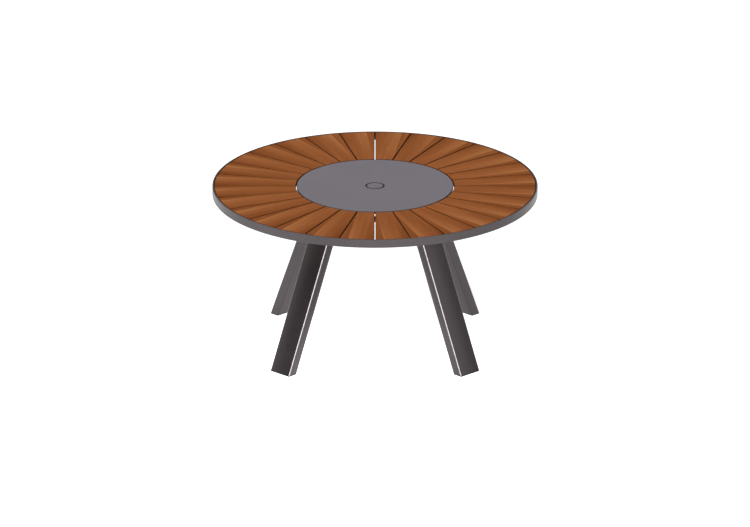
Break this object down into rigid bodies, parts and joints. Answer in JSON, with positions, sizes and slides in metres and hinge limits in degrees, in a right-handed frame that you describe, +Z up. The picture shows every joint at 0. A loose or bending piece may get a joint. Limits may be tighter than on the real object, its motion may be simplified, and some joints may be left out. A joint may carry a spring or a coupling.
{
  "type": "round garden table",
  "caption": "Round garden table with radial wooden slats in a metal rim, a turning metal centre disc with a parasol-hole cap, and splayed flat legs.",
  "frame": {"origin": "on the floor under the middle of the table, between the four feet", "axes": "+Z up; -Y towards the viewer of the picture; the legs stand on the diagonals between +X and +Y"},
  "size_m": [1.45, 1.45, 0.74],
  "materials": {
    "wood_slats": "satin, oiled reddish-brown hardwood",
    "grey_powder_coat": "satin, warm dark grey powder coat",
    "dark_plastic": "matte, near black",
    "stainless_steel": "satin",
    "bearing_metal": "zinc plated, satin"
  },
  "bodies": {
    "frame": {"slat_01": "wood_slats", "slat_02": "wood_slats", "slat_03": "wood_slats", "slat_04": "wood_slats", "slat_05": "wood_slats", "slat_06": "wood_slats", "slat_07": "wood_slats", "slat_08": "wood_slats", "slat_09": "wood_slats", "slat_10": "wood_slats", "slat_11": "wood_slats", "slat_12": "wood_slats", "slat_13": "wood_slats", "slat_14": "wood_slats", "slat_15": "wood_slats", "slat_16": "wood_slats", "slat_17": "wood_slats", "slat_18": "wood_slats", "slat_19": "wood_slats", "slat_20": "wood_slats", "slat_21": "wood_slats", "slat_22": "wood_slats", "slat_23": "wood_slats", "slat_24": "wood_slats", "slat_25": "wood_slats", "slat_26": "wood_slats", "slat_27": "wood_slats", "slat_28": "wood_slats", "rim": "grey_powder_coat", "inner_slat_ring": "grey_powder_coat", "hub_plate": "grey_powder_coat", "parasol_sleeve": "grey_powder_coat", "bearing_lower_ring": "bearing_metal", "arm_front_right": "grey_powder_coat", "arm_rear_right": "grey_powder_coat", "arm_rear_left": "grey_powder_coat", "arm_front_left": "grey_powder_coat", "leg_front_right": "grey_powder_coat", "leg_rear_right": "grey_powder_coat", "leg_rear_left": "grey_powder_coat", "leg_front_left": "grey_powder_coat", "leg_plate_front_right": "grey_powder_coat", "leg_plate_rear_right": "grey_powder_coat", "leg_plate_rear_left": "grey_powder_coat", "leg_plate_front_left": "grey_powder_coat", "foot_cap_front_right": "dark_plastic", "foot_cap_rear_right": "dark_plastic", "foot_cap_rear_left": "dark_plastic", "foot_cap_front_left": "dark_plastic", "leg_bolt_front_right_inner": "stainless_steel", "leg_bolt_front_right_outer": "stainless_steel", "leg_bolt_rear_right_inner": "stainless_steel", "leg_bolt_rear_right_outer": "stainless_steel", "leg_bolt_rear_left_inner": "stainless_steel", "leg_bolt_rear_left_outer": "stainless_steel", "leg_bolt_front_left_inner": "stainless_steel", "leg_bolt_front_left_outer": "stainless_steel"},
    "turntable": {"centre_disc": "grey_powder_coat", "bearing_upper_ring": "bearing_metal"},
    "cap": {"parasol_cap": "grey_powder_coat"}
  },
  "joints": [
    {"name": "disc_turn", "type": "hinge", "parent": "frame", "child": "turntable", "pos_m": [0, 0, 0.735], "axis": [0, 0, 1], "continuous": true},
    {"name": "cap_lift", "type": "slide", "parent": "turntable", "child": "cap", "axis": [0, 0, 1], "range_m": [0, 0.06]}
  ]
}
